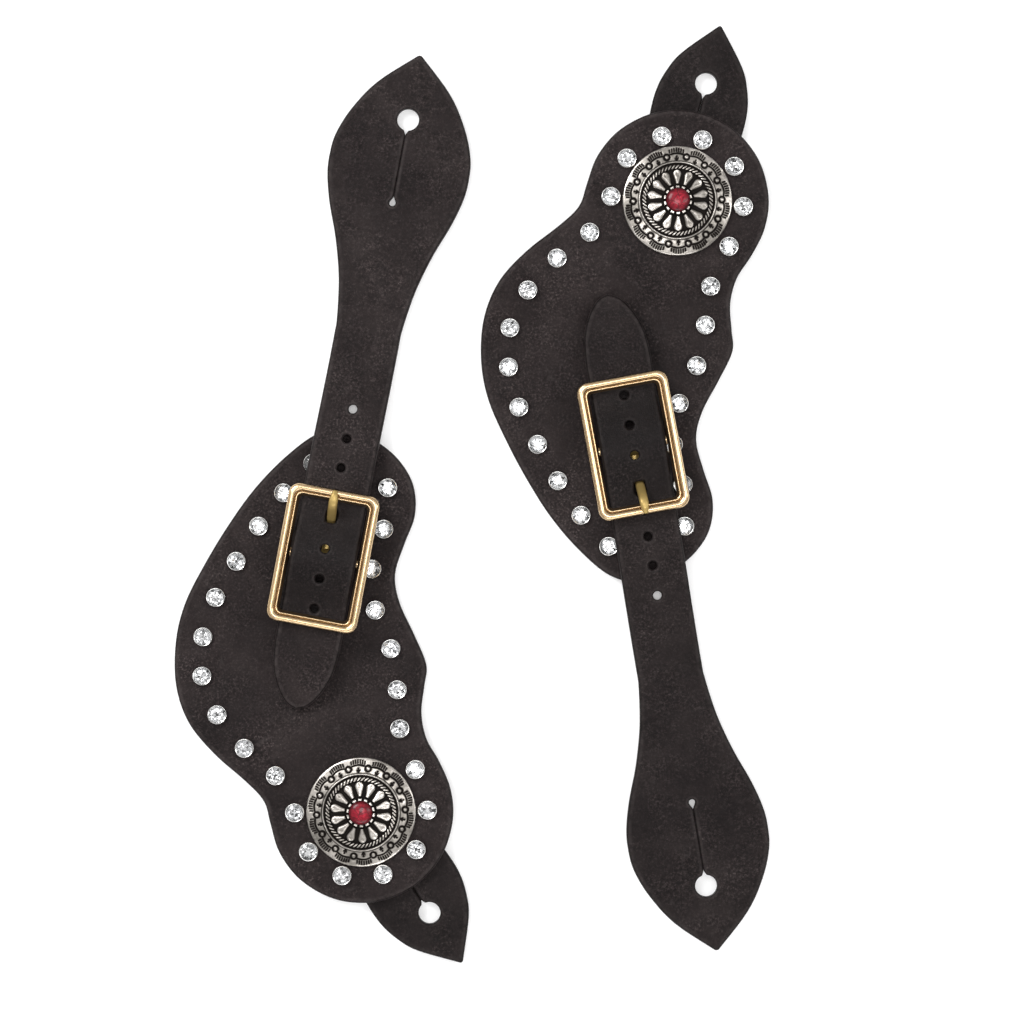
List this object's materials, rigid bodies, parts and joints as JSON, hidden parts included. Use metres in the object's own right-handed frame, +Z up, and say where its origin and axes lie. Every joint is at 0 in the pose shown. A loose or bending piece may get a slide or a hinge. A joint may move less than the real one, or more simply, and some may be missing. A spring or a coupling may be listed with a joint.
{
  "type": "pair of spur straps",
  "caption": "Mirrored pair of leather western spur straps with crystal studs, centre-bar buckles, conchos, and keyholes that button onto a spur.",
  "frame": {"origin": "middle of the pair's outline, on the surface it lies on", "axes": "+Y runs along the straps (the left strap's billet leaf points +Y, the right one's -Y), +X from the left strap to the right one, +Z up from the surface, out of the studded face"},
  "size_m": [0.173, 0.2729, 0.0155],
  "materials": {
    "leather": "dark brown-black, satin, burnished edges",
    "brass": "polished solid brass, slightly worn",
    "antique_silver": "antiqued silver plate, dark in the recesses",
    "red_stone": "glossy red cabochon with darker veins",
    "silver_cup": "bright nickel",
    "crystal": "clear, faceted, foiled at the back",
    "steel": "nickel-plated steel"
  },
  "bodies": {
    "left_strap": {"left_panel": "leather", "left_billet": "leather", "left_chape": "leather", "left_chape_rivets": "steel", "left_rivet_bases": "steel", "left_buckle_frame": "brass", "left_concho": "antique_silver", "left_concho_stone": "red_stone", "left_concho_screw": "steel", "left_stud_cups": "silver_cup", "left_stud_crystals": "crystal", "left_stud_backs": "steel"},
    "left_tongue": {"left_buckle_tongue": "brass"},
    "left_tab": {"left_button_tab": "leather"},
    "left_leaf": {"left_billet_leaf": "leather"},
    "right_strap": {"right_panel": "leather", "right_billet": "leather", "right_chape": "leather", "right_chape_rivets": "steel", "right_rivet_bases": "steel", "right_buckle_frame": "brass", "right_concho": "antique_silver", "right_concho_stone": "red_stone", "right_concho_screw": "steel", "right_stud_cups": "silver_cup", "right_stud_crystals": "crystal", "right_stud_backs": "steel"},
    "right_tongue": {"right_buckle_tongue": "brass"},
    "right_tab": {"right_button_tab": "leather"},
    "right_leaf": {"right_billet_leaf": "leather"}
  },
  "joints": [
    {"name": "left_tongue_pivot", "type": "hinge", "parent": "left_strap", "child": "left_tongue", "pos_m": [-0.04266, -0.0185, 0.0067], "axis": [0.9826, -0.1857, 0], "range_deg": [0, 4]},
    {"name": "left_tab_swivel", "type": "hinge", "parent": "left_strap", "child": "left_tab", "pos_m": [-0.03199, -0.09186, 0.0015], "axis": [0, 0, 1], "range_deg": [-45, 25]},
    {"name": "left_leaf_flex", "type": "hinge", "parent": "left_strap", "child": "left_leaf", "pos_m": [-0.03003, 0.04832, 0.0015], "axis": [0.9826, -0.1857, 0], "range_deg": [-60, 60], "stiffness_Nm_per_rad": 0.02},
    {"name": "right_tongue_pivot", "type": "hinge", "parent": "right_strap", "child": "right_tongue", "pos_m": [0.04641, 0.01395, 0.0067], "axis": [-0.9833, -0.1822, 0], "range_deg": [0, 4]},
    {"name": "right_tab_swivel", "type": "hinge", "parent": "right_strap", "child": "right_tab", "pos_m": [0.05938, 0.08475, 0.0015], "axis": [0, 0, -1], "range_deg": [-22, 47]},
    {"name": "right_leaf_flex", "type": "hinge", "parent": "right_strap", "child": "right_leaf", "pos_m": [0.05775, -0.0531, 0.0015], "axis": [-0.986, -0.1668, 0], "range_deg": [-60, 60], "stiffness_Nm_per_rad": 0.02},
    {"name": "pair_spread", "type": "slide", "parent": "left_strap", "child": "right_strap", "axis": [1, 0, 0], "range_m": [0, 0.1]}
  ]
}
